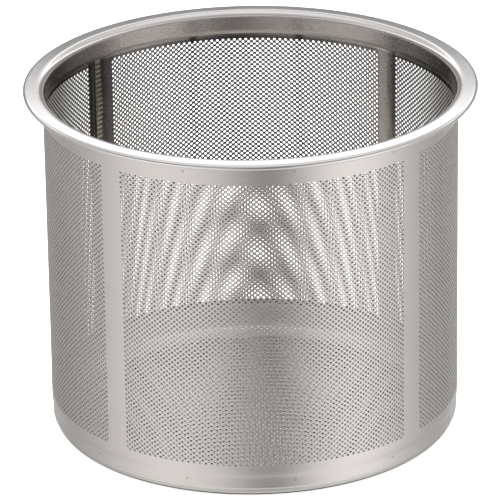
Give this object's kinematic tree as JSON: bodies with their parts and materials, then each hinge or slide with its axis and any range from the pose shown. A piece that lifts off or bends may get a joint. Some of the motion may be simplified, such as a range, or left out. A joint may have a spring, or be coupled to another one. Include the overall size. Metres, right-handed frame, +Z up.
{
  "type": "basket strainer",
  "caption": "Straight-sided round strainer basket of fine-punched stainless sheet, with a flat flanged rim that hangs it in a round opening.",
  "frame": {"origin": "centre of the underside, on the plane that the basket stands on", "axes": "+Z up along the basket's axis, towards the rim; the lapped seam of the wall is at the back left, about 48 degrees from +Y towards -X"},
  "size_m": [0.145, 0.145, 0.115],
  "materials": {
    "rim": "satin stainless, bright on the flange top",
    "wall": "satin punched stainless, smoother on the inside",
    "pan": "satin punched stainless"
  },
  "bodies": {
    "root": {"rim_ring": "rim", "wall_sheet": "wall", "base_pan": "pan"}
  },
  "joints": []
}
